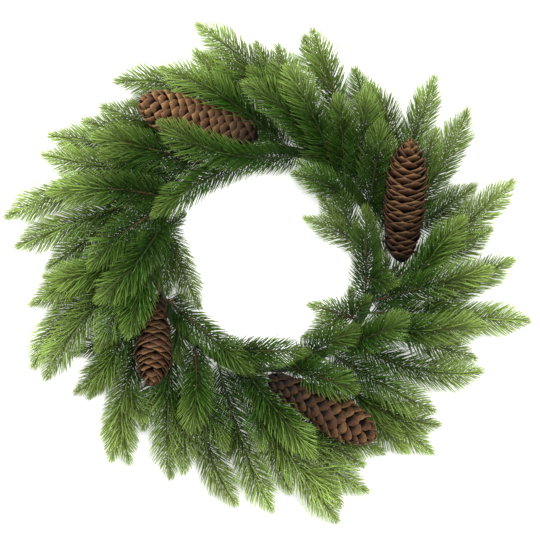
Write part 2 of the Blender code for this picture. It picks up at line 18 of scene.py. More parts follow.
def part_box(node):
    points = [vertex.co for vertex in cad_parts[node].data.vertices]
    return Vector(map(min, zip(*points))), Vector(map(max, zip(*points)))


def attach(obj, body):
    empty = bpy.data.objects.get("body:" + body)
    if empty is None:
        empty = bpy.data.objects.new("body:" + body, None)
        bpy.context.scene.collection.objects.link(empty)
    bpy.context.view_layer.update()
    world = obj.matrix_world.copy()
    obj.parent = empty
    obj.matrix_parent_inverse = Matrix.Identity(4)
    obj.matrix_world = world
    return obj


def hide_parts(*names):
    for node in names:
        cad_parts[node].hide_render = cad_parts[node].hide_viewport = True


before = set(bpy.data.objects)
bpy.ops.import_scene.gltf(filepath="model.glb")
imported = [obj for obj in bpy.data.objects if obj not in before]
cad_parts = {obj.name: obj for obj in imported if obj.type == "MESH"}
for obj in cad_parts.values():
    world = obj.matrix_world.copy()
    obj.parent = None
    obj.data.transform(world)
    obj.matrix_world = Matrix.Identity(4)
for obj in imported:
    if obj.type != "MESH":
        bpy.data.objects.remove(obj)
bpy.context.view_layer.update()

# %% [markdown]
# ## One place to measure from
#
# The sprays and cones are laid out round the middle of the hoop, in millimetres. That
# middle lies a little off the origin, so it is read from the box of the CAD model's hoop.

# %% The middle of the hoop
MM = 0.001
UP = Vector((0.0, 0.0, 1.0))
hoop_low, hoop_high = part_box("hoop")
HOOP_MIDDLE = Vector(((hoop_low.x + hoop_high.x) / 2, (hoop_low.y + hoop_high.y) / 2, 0.0))
HOOP_RADIUS = 110.0
WIRE_HEIGHT = 4.8


def place(point):
    """A point given in millimetres round the hoop's middle, as a place in the scene."""
    return HOOP_MIDDLE + Vector(point) * MM


def around_hoop(hoop_angle, seat_angle, reach):
    """Millimetres round the hoop: reach from the wire's centre line, seat_angle up from outside."""
    turn = math.radians(hoop_angle)
    seat = math.radians(seat_angle)
    outward = Vector((math.cos(turn), math.sin(turn), 0.0))
    middle = outward * HOOP_RADIUS + UP * WIRE_HEIGHT
    return middle + reach * (math.cos(seat) * outward + math.sin(seat) * UP)


print("middle of the hoop in mm:", [round(v / MM, 2) for v in HOOP_MIDDLE])

# %% [markdown]
# ## The lay of the sprays
#
# A wreath maker binds one spray after another to the wire, each lying over the foot of
# the one before, so they all sweep the same way round. Each row says where a spray
# leaves the hoop (degrees round it, then degrees up the wire: 0 outside, 90 on top, 180
# inside), the middle of its stem and the tip of its foliage. Its side twigs follow: how
# far along the stem each starts, and its own tip. Most stems are those of the CAD model,
# and the rest lie within a needle's length of them. Some have more side twigs.

# %% Sprays and side twigs
Spray = namedtuple("Spray", "hoop_angle seat_angle middle tip forks")
Fork = namedtuple("Fork", "fraction tip")
SPRAY_ROWS = (
    (2, 20, (164, 78, 18), (200, 150, 26), (0.2, (209, 74, 14)), (0.42, (167, 130, 36))),
    (6, 150, (74, 25, 32), (34, 42, 30), (0.35, (65, 76, 38)), (0.5, (50, 66, 34))),
    (12, 20, (144, 117, 14), (167, 183, 20)),
    (18, 40, (121, 117, 30), (98, 174, 40), (0.5, (85, 191, 24))),
    (25, 80, (107, 98, 68), (112, 136, 70)),
    (31, 120, (57, 73, 50), (22, 85, 48), (0.3, (28, 97, 40))),
    (36, 90, (94, 123, 62), (97, 168, 58)),
    (41, 60, (68, 152, 38), (44, 229, 34), (0.6, (35, 222, 26))),
    (46, 90, (73, 125, 63), (68, 162, 66)),
    (50, 110, (42, 145, 84), (17, 190, 76)),
    (54, 90, (22, 141, 66), (-25, 173, 64), (0.4, (-19, 189, 54))),
    (59, 80, (32, 152, 52), (9, 212, 46)),
    (64, 60, (1, 171, 40), (-71, 233, 34), (0.3, (-12, 216, 20)), (0.5, (-68, 203, 26))),
    (71, 105, (-40, 102, 72), (-107, 134, 74)),
    (78, 90, (-40, 157, 54), (-107, 188, 46)),
    (84, 45, (-35, 158, 27), (-73, 208, 26), (0.42, (-46, 191, 38))),
    (89, 120, (-56, 80, 50), (-113, 42, 60)),
    (98, 10, (-68, 164, 14), (-153, 177, 18), (0.5, (-139, 153, 14))),
    (112, 40, (-108, 130, 18), (-166, 152, 24), (0.4, (-218, 122, 14)), (0.5, (-184, 137, 20))),
    (122, 80, (-123, 110, 46), (-175, 121, 42), (0.3, (-167, 102, 56))),
    (129, 45, (-156, 91, 28), (-224, 104, 26)),
    (138, 30, (-174, 71, 20), (-261, 41, 22)),
    (143, 60, (-165, 44, 36), (-250, 11, 28), (0.35, (-219, -10, 14))),
    (148, 90, (-148, 68, 56), (-218, 65, 46)),
    (153, 75, (-138, 27, 62), (-176, -12, 58)),
    (157, 100, (-125, -2, 76), (-168, -44, 68), (0.45, (-167, -91, 54)), (0.3, (-136, -78, 80))),
    (161, 130, (-88, 0, 34), (-65, -51, 30), (0.08, (-80, 46, 34)), (0.12, (-98, -38, 28))),
    (165, 75, (-163, -10, 46), (-221, -18, 42)),
    (170, 45, (-170, -8, 26), (-222, -40, 28), (0.5, (-236, -47, 14))),
    (175, 20, (-188, -44, 13), (-234, -110, 14)),
    (180, 60, (-176, -54, 40), (-220, -120, 30), (0.12, (-140, -70, 72))),
    (187, 30, (-150, -92, 17), (-190, -134, 28), (0.5, (-177, -139, 12)), (0.4, (-192, -94, 22))),
    (201, 110, (-57, -75, 48), (-13, -114, 46), (0.15, (-88, -104, 28)), (0.05, (-79, -36, 26))),
    (208, 15, (-140, -127, 16), (-136, -204, 22), (0.5, (-120, -162, 38)),
     (0.55, (-155, -202, 12))),
    (218, 40, (-98, -142, 24), (-95, -219, 24), (0.4, (-81, -213, 34)), (0.25, (-124, -170, 22))),
    (229, 90, (-69, -130, 60), (-76, -172, 54), (0.4, (-40, -188, 48))),
    (235, 20, (-63, -172, 14), (-30, -246, 16)),
    (240, 120, (-10, -90, 56), (44, -91, 54), (0.25, (18, -103, 50))),
    (244, 50, (-24, -185, 28), (6, -251, 26), (0.35, (-38, -198, 18))),
    (252, 65, (20, -189, 40), (71, -261, 30), (0.3, (23, -233, 20)), (0.62, (75, -244, 42))),
    (257, 95, (11, -150, 64), (48, -195, 60), (0.3, (-6, -188, 52))),
    (263, 30, (32, -179, 18), (101, -232, 20), (0.5, (98, -204, 26)), (0.36, (118, -192, 12))),
    (282, 95, (52, -115, 74), (91, -129, 68)),
    (287, 125, (56, -84, 62), (94, -67, 58)),
    (297, 25, (106, -146, 16), (173, -165, 24), (0.35, (166, -193, 14)), (0.45, (138, -192, 26))),
    (304, 70, (112, -123, 46), (167, -151, 42)),
    (310, 100, (107, -73, 74), (138, -53, 68)),
    (315, 45, (144, -108, 34), (215, -111, 32)),
    (320, 85, (152, -70, 58), (216, -65, 50), (0.35, (207, -99, 46))),
    (326, 130, (66, -52, 36), (38, -44, 32), (0.12, (82, -27, 40)), (0.12, (101, -36, 40)),
     (0.2, (33, -79, 40))),
    (332, 25, (180, -57, 22), (262, -61, 22), (0.36, (246, 1, 18))),
    (337, 80, (164, -25, 54), (223, -10, 48), (0.3, (194, 42, 64))),
    (342, 50, (174, 16, 34), (246, 79, 32), (0.1, (116, 8, 30)), (0.35, (224, 30, 26))),
    (335, 120, (97, 4, 50), (97, 54, 48), (0.25, (128, -24, 62))),
)
SPRAYS = [Spray(*row[:4], [Fork(*fork) for fork in row[4:]]) for row in SPRAY_ROWS]
print(len(SPRAYS), "sprays with", len(SPRAYS) + sum(len(s.forks) for s in SPRAYS), "tips")

# %% [markdown]
# ## A short way to write node trees
#
# A node tree is a list of nodes and the wires between them. The helpers below keep the
# trees readable: each adds a node and plugs in its inputs, whether they are numbers or
# the outputs of other nodes. The last few make plain meshes and objects.

# %% Helpers for node trees
def add_node(tree, kind, inputs=None, **settings):
    """A new node with its settings and inputs; an input may be a value or another socket."""
    node = tree.nodes.new(kind)
    for setting, value in settings.items():
        setattr(node, setting, value)
    for key, value in (inputs or {}).items():
        if isinstance(value, bpy.types.NodeSocket):
            tree.links.new(value, node.inputs[key])
        else:
            node.inputs[key].default_value = value
    return node


def add(tree, kind, inputs=None, output=0, **settings):
    """A new node, given back as one of its outputs."""
    return add_node(tree, kind, inputs, **settings).outputs[output]


def maths(tree, operation, first, second=0.0):
    """One sum on two numbers."""
    return add(tree, "ShaderNodeMath", {0: first, 1: second}, operation=operation)


def times(tree, first, second):
    """Two numbers multiplied."""
    return maths(tree, "MULTIPLY", first, second)


def blend(tree, value, span, ends):
    """The value's place in a span, as a number between two ends, held at the ends."""
    inputs = {"Value": value, "From Min": span[0], "From Max": span[1],
              "To Min": ends[0], "To Max": ends[1]}
    return add(tree, "ShaderNodeMapRange", inputs)


def arrows(tree, operation, first, second=(0.0, 0.0, 0.0), output=0):
    """One sum on two directions or places."""
    inputs = {0: first, 1: second}
    return add(tree, "ShaderNodeVectorMath", inputs, output, operation=operation)


def stretch(tree, arrow, amount):
    """A direction multiplied by a number."""
    return add(tree, "ShaderNodeVectorMath", {0: arrow, 3: amount}, operation="SCALE")


def from_middle(tree, point):
    """How far a point is from the middle of the hoop."""
    return arrows(tree, "DISTANCE", point, HOOP_MIDDLE, "Value")


def arrow_of(tree, x=0.0, y=0.0, z=0.0):
    """A direction, place or size made of three numbers."""
    return add(tree, "ShaderNodeCombineXYZ", {"X": x, "Y": y, "Z": z})


def chance(tree, inputs, low, high):
    """A different number for each point."""
    return add(tree, "FunctionNodeRandomValue", {2: low, 3: high, "Seed": inputs["Seed"]}, 1)


def carry(tree, shape, name, value):
    """A shape that carries a number for each of its points."""
    return add(tree, "GeometryNodeStoreNamedAttribute",
               {"Geometry": shape, "Name": name, "Value": value})


def carried(tree, name):
    """The number that a point carries."""
    return add(tree, "GeometryNodeInputNamedAttribute", {"Name": name})


def copies(tree, points, item, rotation, scale):
    """A copy of an object on each point."""
    shape = add(tree, "GeometryNodeObjectInfo", {"Object": item}, "Geometry")
    return add(tree, "GeometryNodeInstanceOnPoints",
               {"Points": points, "Instance": shape, "Rotation": rotation, "Scale": scale})


def tube(tree, curve, corners, scale, radius=1.0, caps=True):
    """A tube along a curve."""
    ring = add(tree, "GeometryNodeCurvePrimitiveCircle", {"Resolution": corners, "Radius": radius})
    return add(tree, "GeometryNodeCurveToMesh",
               {"Curve": curve, "Profile Curve": ring, "Scale": scale, "Fill Caps": caps})


def join(tree, *shapes):
    """Several shapes as one."""
    node = add_node(tree, "GeometryNodeJoinGeometry")
    for shape in shapes:
        tree.links.new(shape, node.inputs[0])
    return node.outputs[0]


def made_real(tree, shape):
    """Copies turned into a mesh of their own."""
    return add(tree, "GeometryNodeRealizeInstances", {0: shape})


def painted(tree, shape, finish):
    """A shape with its material."""
    return add(tree, "GeometryNodeSetMaterial", {"Geometry": shape, "Material": finish})


def start_tree(name, inputs):
    """An empty tree, and its named inputs."""
    tree = bpy.data.node_groups.new(name, "GeometryNodeTree")
    tree.interface.new_socket("Geometry", in_out="OUTPUT", socket_type="NodeSocketGeometry")
    for kind, labels in {"Geometry": ("Geometry",), **inputs}.items():
        for label in labels:
            tree.interface.new_socket(label, in_out="INPUT", socket_type="NodeSocket" + kind)
    return tree, add_node(tree, "NodeGroupInput").outputs


def end_tree(tree, shape):
    """The tree, giving out a shape."""
    add_node(tree, "NodeGroupOutput", {0: shape})
    return tree


def grow(carrier, tree, values, name):
    """Run a tree on a carrier object, and keep only the plain mesh that it makes."""
    modifier = carrier.modifiers.new("grow", "NODES")
    modifier.node_group = tree
    for item in tree.interface.items_tree:
        if item.in_out == "INPUT" and item.name in values:
            modifier[item.identifier] = values[item.name]
    depsgraph = bpy.context.evaluated_depsgraph_get()
    grown = carrier.evaluated_get(depsgraph)
    mesh = bpy.data.meshes.new_from_object(grown, preserve_all_data_layers=True,
                                           depsgraph=depsgraph)
    carrier.modifiers.remove(modifier)
    bpy.data.objects.remove(carrier)
    mesh.name = name
    for place_in_list in reversed(range(len(mesh.materials))):
        if mesh.materials[place_in_list] is None:
            mesh.materials.pop(index=place_in_list)
    piece = bpy.data.objects.new(name, mesh)
    bpy.context.collection.objects.link(piece)
    return piece


def helper_object(name, data):
    """An object that lends its shape to a tree and isn't part of the wreath."""
    helper = bpy.data.objects.new(name, data)
    bpy.context.collection.objects.link(helper)
    return helper


def plain_mesh(name, points, faces, **numbers):
    """A mesh, and the numbers that its points carry under the names that materials read."""
    mesh = bpy.data.meshes.new(name)
    mesh.from_pydata(points, [], faces)
    for label, values in numbers.items():
        mesh.attributes.new(label, "FLOAT", "POINT").data.foreach_set("value", values)
    return mesh


def dress(piece, node):
    """Let a finished piece stand for a CAD node, and ride on the wreath's one body."""
    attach(piece, "root")
    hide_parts(node)


# %% [markdown]
# ## The finish of the needles
#
# A spruce needle is dull green where it leaves the twig and clearer, yellower green at
# its point, and no two are quite alike. Its foot is painted darker still, as painted shade
# deep among the needles at the twig. The new growth at the tips of the sprays is lighter
# than the old growth near the hoop. Round the outer rim and the hole's edge the needles are
# lighter too, partly as new growth and partly as painted light where the foliage thins. The
# tree stores how far along its needle each point lies, how far along its twig, and a random
# shade for each needle. The material mixes its greens by those three and by the distance
# from the middle. Noise makes some patches of the wreath a little lighter than others.

# %% Needle material
def start_material(name, roughness, shine=0.5):
    """A material with its shader, ready for nodes."""
    material = bpy.data.materials.new(name)
    material.use_nodes = True
    shader = material.node_tree.nodes["Principled BSDF"]
    shader.inputs["Roughness"].default_value = roughness
    shader.inputs["Specular IOR Level"].default_value = shine
    return material, material.node_tree, shader


def stored(tree, name):
    """A number that the mesh carries under a name."""
    return add(tree, "ShaderNodeAttribute", output="Fac", attribute_name=name)


def ramp(tree, factor, stops):
    """Colours along a scale from 0 to 1; stops are pairs of place and colour."""
    node = add_node(tree, "ShaderNodeValToRGB", {0: factor})
    points = node.color_ramp.elements
    while len(points) < len(stops):
        points.new(0.5)
    for point, (position, colour) in zip(points, stops):
        point.position = position
        point.color = (*colour, 1.0)
    return node.outputs[0]


def mix(tree, factor, first, second):
    """Two colours mixed."""
    return add(tree, "ShaderNodeMix", {0: factor, 6: first, 7: second}, 2, data_type="RGBA")


def noise(tree, scale, detail=3.0, where=None):
    """Noise at a scale, over the piece's own coordinates unless told otherwise."""
    if where is None:
        where = add(tree, "ShaderNodeTexCoord", output="Object")
    return add(tree, "ShaderNodeTexNoise", {"Vector": where, "Scale": scale, "Detail": detail})


def vary(tree, colour, hue, value):
    """A colour shifted in hue and in brightness."""
    return add(tree, "ShaderNodeHueSaturation", {"Hue": hue, "Value": value, "Color": colour})


def raise_bumps(tree, shader, height, depth, strength=1.0):
    """Bumps from a height map."""
    bump = add(tree, "ShaderNodeBump",
               {"Height": height, "Distance": depth, "Strength": strength})
    tree.links.new(bump, shader.inputs["Normal"])


# The needle's dark foot is partly its duller base and partly painted shade deep among the needles.
SHADED_NEEDLE_FOOT_GREEN = (0.009, 0.022, 0.003)
NEEDLE_GREEN = (0.031, 0.078, 0.007)
NEEDLE_POINT_GREEN = (0.130, 0.215, 0.038)
OLD_GREEN = (0.014, 0.040, 0.007)
# This green is both the new growth and painted light at the rims.
NEW_GROWTH_AND_LIT_GREEN = (0.360, 0.480, 0.110)
RIM = (0.17, 0.25)
HOLE_EDGE = (0.08, 0.105)


def needle_material():
    """Spruce green with painted shade at its foot, lighter at its point, the spray's tip and both
    rims.
    """
    material, tree, shader = start_material("spruce_needle", 0.5, 0.12)
    along = stored(tree, "along")
    young = stored(tree, "young")
    shade = stored(tree, "shade")
    outwards = from_middle(tree, add(tree, "ShaderNodeTexCoord", output="Object"))
    # Lighter round the outer rim and the hole's edge: partly new growth, partly painted light where
    # the foliage thins.
    rim = maths(tree, "ADD", blend(tree, outwards, RIM, (0.0, 0.74)),
                blend(tree, outwards, HOLE_EDGE, (0.4, 0.0)))
    green = ramp(tree, along, ((0.0, SHADED_NEEDLE_FOOT_GREEN), (0.4, NEEDLE_GREEN),
                               (0.65, NEEDLE_GREEN), (1.0, NEEDLE_POINT_GREEN)))
    old = mix(tree, blend(tree, young, (0.0, 0.7), (0.55, 0.0)), green, (*OLD_GREEN, 1.0))
    outer = blend(tree, along, (0.1, 0.9), (0.45, 1.1))
    lighter = maths(tree, "ADD", times(tree, rim, outer),
                    blend(tree, young, (0.6, 1.0), (0.0, 0.20)))
    new = mix(tree, lighter, old, (*NEW_GROWTH_AND_LIT_GREEN, 1.0))
    patches = blend(tree, noise(tree, 14.0), (0.35, 0.65), (0.8, 1.2))
    varied = vary(tree, new, blend(tree, shade, (0.0, 1.0), (0.49, 0.51)),
                  times(tree, patches, blend(tree, shade, (0.0, 1.0), (0.45, 1.5))))
    tree.links.new(varied, shader.inputs["Base Color"])
    raise_bumps(tree, shader, noise(tree, 900.0), 0.0002, 0.4)
    return material


NEEDLE = needle_material()
print("needle material:", len(NEEDLE.node_tree.nodes), "nodes")

# %% [markdown]
# ## The finish of the twigs
#
# Last year's wood is orange brown and ridged by the pegs that its needles sat on, and
# the newest shoots are still green. The twig's own length carries the change, and fine
# noise with a bump gives the ridges.

# %% Bark material
OLD_BARK = (0.170, 0.075, 0.020)
YOUNG_BARK = (0.045, 0.078, 0.014)


def bark_material():
    """Twig bark from brown at the foot to green at the tip, ridged and spotted."""
    material, tree, shader = start_material("spruce_bark", 0.7)
    young = stored(tree, "young")
    brown = times(tree, blend(tree, noise(tree, 22.0), (0.50, 0.60), (0.0, 1.0)),
                  blend(tree, young, (0.35, 0.9), (1.0, 0.3)))
    age = mix(tree, brown, (*YOUNG_BARK, 1.0), (*OLD_BARK, 1.0))
    ridges = noise(tree, 700.0, 4.0)
    spotted = mix(tree, blend(tree, ridges, (0.35, 0.7), (0.0, 0.6)), age,
                  (0.030, 0.022, 0.010, 1.0))
    tree.links.new(spotted, shader.inputs["Base Color"])
    raise_bumps(tree, shader, ridges, 0.0006)
    return material


BARK = bark_material()
print("bark material:", len(BARK.node_tree.nodes), "nodes")

# %% [markdown]
# ## One needle
#
# A spruce needle is long and thin, four-sided, slightly curved and sharp. A flat card
# would be cheap but vanish when seen edge on. A closed four-sided spindle costs only 22
# triangles and catches the light from every side. It is one unit long and about one
# across, to be scaled by the tree to about 27 mm by 1 mm, and bends towards the twig's
# tip (its own +X).

# %% Needle mesh
NEEDLE_RINGS = ((0.0, 0.30), (0.42, 0.52), (0.82, 0.36))
NEEDLE_BEND = 5.4


def needle_mesh():
    """A closed four-sided needle up the z axis, with how far along it each point lies."""
    points = []
    along = []
    for height, radius in NEEDLE_RINGS:
        for corner in range(4):
            angle = math.tau * corner / 4
            points.append((NEEDLE_BEND * height ** 2 + radius * math.cos(angle),
                           radius * math.sin(angle), height))
            along.append(height)
    points.append((NEEDLE_BEND, 0.0, 1.0))
    along.append(1.0)
    faces = [(3, 2, 1, 0)]
    last = 4 * (len(NEEDLE_RINGS) - 1)
    for ring in range(0, last, 4):
        for corner in range(4):
            after = (corner + 1) % 4
            faces.append((ring + corner, ring + after, ring + 4 + after, ring + 4 + corner))
    for corner in range(4):
        faces.append((last + corner, last + (corner + 1) % 4, last + 4))
    return plain_mesh("needle", points, faces, along=along)


needle = helper_object("needle", needle_mesh())
print("a needle has", len(needle.data.vertices), "points and", len(needle.data.polygons), "faces")

# %% [markdown]
# ## The spray tree
#
# Needles sit on a spruce twig in a spiral, each turned by the golden angle from the one
# below, and every one leans forward: most at the tip, where they close up into a brush,
# and least at the foot. The tree walks along the twig in even steps, turns each needle
# round the twig by that angle and leans it by how far along it stands, a little more on
# the twig's upper side. A needle that would go through the table is turned up until it
# lies along it. Where a cone is in a needle's way, a ray finds the distance, and the
# needle is made that much shorter. The twig itself is a tube that tapers to its tip.

# %% Geometry Nodes: spruce spray
GOLDEN_TURN = math.pi * (3.0 - math.sqrt(5.0))
BRUSH = (0.0, 28.0 * MM)
SHORTENED = (0.0, 36.0 * MM)
INNER_EDGE = (0.08, 0.11)
SPRAY_INPUTS = {
    "Object": ("Needle", "Keep clear of"),
    "Float": ("Needle spacing", "Needle length", "Needle width", "Foot lean", "Middle lean",
              "Tip lean", "Upper lean", "Bare length", "Twig radius", "Flatness", "Table"),
    "Int": ("Seed",), "Material": ("Needle finish", "Bark finish"),
}


def needle_direction(tree, inputs, young, tangent):
    """The way each needle points: round the twig by the golden angle, leaning forward."""
    index = add(tree, "GeometryNodeInputIndex")
    turn = maths(tree, "ADD", times(tree, index, GOLDEN_TURN), chance(tree, inputs, -0.12, 0.12))
    across = arrows(tree, "NORMALIZE", arrows(tree, "CROSS_PRODUCT", tangent, UP))
    above = arrows(tree, "CROSS_PRODUCT", across, tangent)
    rise = times(tree, maths(tree, "SINE", turn), inputs["Flatness"])
    side = arrows(tree, "ADD", stretch(tree, across, maths(tree, "COSINE", turn)),
                  stretch(tree, above, rise))
    side = arrows(tree, "NORMALIZE", side)
    foot = blend(tree, young, (0.0, 0.3), (inputs["Foot lean"], inputs["Middle lean"]))
    share = blend(tree, carried(tree, "to_tip"), BRUSH, (1.0, 0.0))
    drop = maths(tree, "SUBTRACT", inputs["Tip lean"], inputs["Middle lean"])
    lean = maths(tree, "ADD", foot, times(tree, share, drop))
    upper = maths(tree, "MAXIMUM", maths(tree, "SINE", turn), 0.0)
    lean = maths(tree, "SUBTRACT", lean, times(tree, upper, inputs["Upper lean"]))
    lean = maths(tree, "RADIANS", maths(tree, "ADD", lean, chance(tree, inputs, -4.0, 4.0)))
    return arrows(tree, "ADD", stretch(tree, tangent, maths(tree, "COSINE", lean)),
                  stretch(tree, side, maths(tree, "SINE", lean)))


def above_table(tree, inputs, direction):
    """Needles that would go through the table are pressed up until they lie along it."""
    here = add(tree, "GeometryNodeInputPosition")
    height = add(tree, "ShaderNodeSeparateXYZ", {0: here}, "Z")
    parts = add_node(tree, "ShaderNodeSeparateXYZ", {0: direction}).outputs
    room = maths(tree, "SUBTRACT", inputs["Table"], height)
    kept = maths(tree, "MAXIMUM", parts["Z"], maths(tree, "DIVIDE", room, inputs["Needle length"]))
    level = arrows(tree, "NORMALIZE", arrow_of(tree, parts["X"], parts["Y"]))
    spread = maths(tree, "SUBTRACT", 1.0, times(tree, kept, kept))
    spread = maths(tree, "SQRT", maths(tree, "MAXIMUM", spread, 0.0))
    return arrows(tree, "ADD", stretch(tree, level, spread), arrow_of(tree, z=kept))


def needle_length(tree, inputs, young, direction):
    """How long a needle is: shorter at a twig's ends, round the hole and before a cone."""
    foot = blend(tree, young, (0.0, 0.2), (0.8, 1.0))
    tip = blend(tree, carried(tree, "to_tip"), SHORTENED, (0.28, 1.0))
    here = add(tree, "GeometryNodeInputPosition")
    outwards = from_middle(tree, arrows(tree, "MULTIPLY", here, (1.0, 1.0, 0.0)))
    natural = times(tree, times(tree, foot, tip), blend(tree, outwards, INNER_EDGE, (0.85, 1.0)))
    natural = times(tree, natural, chance(tree, inputs, 0.9, 1.06))
    natural = times(tree, natural, inputs["Needle length"])
    body = add(tree, "GeometryNodeObjectInfo", {"Object": inputs["Keep clear of"]}, "Geometry")
    ray = add_node(tree, "GeometryNodeRaycast",
                   {"Target Geometry": body, "Ray Direction": direction, "Ray Length": natural})
    free = maths(tree, "SUBTRACT", natural, ray.outputs["Hit Distance"])
    return maths(tree, "SUBTRACT", natural, times(tree, free, ray.outputs["Is Hit"]))


def resampled(tree, curve, length, **numbers):
    """A curve in even steps, carrying numbers for each point."""
    curve = add(tree, "GeometryNodeResampleCurve", {"Curve": curve, "Length": length},
                mode="LENGTH")
    for name, value in numbers.items():
        curve = carry(tree, curve, name, value)
    return curve


def spray_tree():
    """Twigs in, a twig tube covered in needles out."""
    tree, inputs = start_tree("spruce_spray", SPRAY_INPUTS)
    along = add_node(tree, "GeometryNodeSplineParameter").outputs
    whole = add(tree, "GeometryNodeSplineLength")
    steps = resampled(tree, inputs["Geometry"], inputs["Needle spacing"],
                      young=along["Factor"], from_foot=along["Length"],
                      to_tip=maths(tree, "SUBTRACT", whole, along["Length"]))
    twig_points = add_node(tree, "GeometryNodeCurveToPoints", {"Curve": steps},
                           mode="EVALUATED").outputs
    bare = maths(tree, "LESS_THAN", carried(tree, "from_foot"), inputs["Bare length"])
    needled = add(tree, "GeometryNodeDeleteGeometry",
                  {"Geometry": twig_points["Points"], "Selection": bare})
    shaded = carry(tree, needled, "shade", chance(tree, inputs, 0.0, 1.0))
    young = carried(tree, "young")
    tangent = twig_points["Tangent"]
    direction = needle_direction(tree, inputs, young, tangent)
    direction = above_table(tree, inputs, direction)
    length = needle_length(tree, inputs, young, direction)
    turned = add(tree, "FunctionNodeAxesToRotation",
                 {"Primary Axis": direction, "Secondary Axis": tangent},
                 primary_axis="Z", secondary_axis="X")
    part = maths(tree, "DIVIDE", length, inputs["Needle length"])
    width = times(tree, inputs["Needle width"], blend(tree, part, (0.2, 1.0), (0.5, 1.0)))
    needles = made_real(tree, copies(tree, shaded, inputs["Needle"], turned,
                                     arrow_of(tree, width, width, length)))
    green = painted(tree, needles, inputs["Needle finish"])
    return end_tree(tree, join(tree, green, twig_tube(tree, inputs, along)))


def twig_tube(tree, inputs, along):
    """The twig: a tube that tapers to its tip."""
    coarse = resampled(tree, inputs["Geometry"], 5.0 * MM, young=along["Factor"])
    taper = blend(tree, along["Factor"], (0.0, 1.0), (1.0, 0.5))
    wood = tube(tree, coarse, 6, times(tree, taper, inputs["Twig radius"]))
    return painted(tree, wood, inputs["Bark finish"])


SPRUCE_SPRAY = spray_tree()
print("spray tree:", len(SPRUCE_SPRAY.nodes), "nodes")

# %% [markdown]
# ## Grow the sprays
#
# Each stem is a smooth arc through three points: its foot on the wire, its middle and
# its tip. A Bézier spline with two points draws it exactly, with its handles two thirds
# of the way to the arc's corner. A side twig leaves the stem at a slant and bends on to
# its own tip. The needles at a tip reach past the end of the twig, so twigs stop short
# of the foliage's tip by the length of that fan.

# %% Stems as curves
FAN = 5.0
WIRE_REACH = 3.6
LOWEST_BEND = 4.0
SLANT_AHEAD = 0.55
SLANT_ASIDE = 0.85
BEND_AT = 0.3


def start_curve(name, steps):
    """An empty curve in space, drawn in a number of steps."""
    curve = bpy.data.curves.new(name, "CURVE")
    curve.dimensions = "3D"
    curve.resolution_u = steps
    return curve


def bezier_arc(curve, start, corner, end):
    """Add one arc to a curve: from start to end, pulled towards a corner."""
    spline = curve.splines.new("BEZIER")
    spline.bezier_points.add(1)
    for point, here, side in zip(spline.bezier_points, (start, end), (1.0, -1.0)):
        pull = (corner - here) * 2.0 / 3.0 * side
        point.co = place(here)
        point.handle_left_type = "FREE"
        point.handle_right_type = "FREE"
        point.handle_right = place(here + pull)
        point.handle_left = place(here - pull)


def arc_point(start, corner, end, fraction):
    """A point on an arc, and the way it heads there."""
    rest = 1.0 - fraction
    point = start * rest ** 2 + corner * 2.0 * rest * fraction + end * fraction ** 2
    heading = (corner - start) * rest + (end - corner) * fraction
    return point, heading.normalized()


def short_of(tip, before):
    """Where a twig ends, so that its last needles end at the foliage's tip."""
    return tip - (tip - before).normalized() * FAN


def stem_curve(spray):
    """A spray's stem and its side twigs as one curve."""
    curve = start_curve("stems", 24)
    root = around_hoop(spray.hoop_angle, spray.seat_angle, WIRE_REACH)
    middle = Vector(spray.middle)
    end = short_of(Vector(spray.tip), middle)
    corner = 2.0 * middle - (root + end) / 2.0
    bezier_arc(curve, root, corner, end)
    for fork in spray.forks:
        start, heading = arc_point(root, corner, end, fork.fraction)
        fork_end = short_of(Vector(fork.tip), start)
        reach = fork_end - start
        sideways = (reach - heading * reach.dot(heading)).normalized()
        leaving = (SLANT_AHEAD * heading + SLANT_ASIDE * sideways).normalized()
        bend = start + leaving * reach.length * BEND_AT
        bend.z = max(bend.z, LOWEST_BEND)
        bezier_arc(curve, start, bend, fork_end)
    return curve


# %% Cone bodies to keep the needles out of
CONE_NODES = ("cone_top_left", "cone_right", "cone_lower_left", "cone_bottom")


def joined_copy(nodes, name):
    """One mesh made of copies of several CAD nodes."""
    points = []
    faces = []
    for node in nodes:
        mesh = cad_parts[node].data
        first = len(points)
        points += [vertex.co.copy() for vertex in mesh.vertices]
        faces += [[first + corner for corner in face.vertices] for face in mesh.polygons]
    return plain_mesh(name, points, faces)


cone_bodies = helper_object("cone_bodies", joined_copy(CONE_NODES, "cone_bodies"))
print("cone bodies:", len(cone_bodies.data.polygons), "faces")

# %% Grow every spray
SPRAY_VALUES = {
    "Needle": needle, "Keep clear of": cone_bodies, "Needle spacing": 0.33 * MM,
    "Needle length": 27.0 * MM, "Needle width": 0.98 * MM, "Foot lean": 62.0,
    "Middle lean": 54.0, "Tip lean": 36.0, "Bare length": 3.0 * MM,
    "Twig radius": 1.05 * MM, "Flatness": 0.55, "Table": 1.7 * MM, "Upper lean": 8.0,
    "Needle finish": NEEDLE, "Bark finish": BARK,
}
triangles = 0
for number, spray in enumerate(SPRAYS):
    name = "spray_%02d" % (number + 1)
    stems = helper_object("stems", stem_curve(spray))
    piece = grow(stems, SPRUCE_SPRAY, {**SPRAY_VALUES, "Seed": number}, "needles_" + name)
    dress(piece, name)
    triangles += sum(len(face.vertices) - 2 for face in piece.data.polygons)
print("sprays:", triangles, "triangles in", [finish.name for finish in piece.data.materials])

# %% [markdown]
# ## The finish of the cone scales
#
# A dry cone scale is warm brown with fine streaks from foot to edge. Where it runs into
# the cone it is painted near-black, as painted shade in the gaps between scales. Along its
# free edge and nib it is paler, partly worn and partly a painted highlight. Each scale
# stores how far a point lies along it and across it, so the streaks run with the scale,
# and a random shade sets neighbours apart. The scales are also painted darker towards the
# cone's foot, as painted shade.

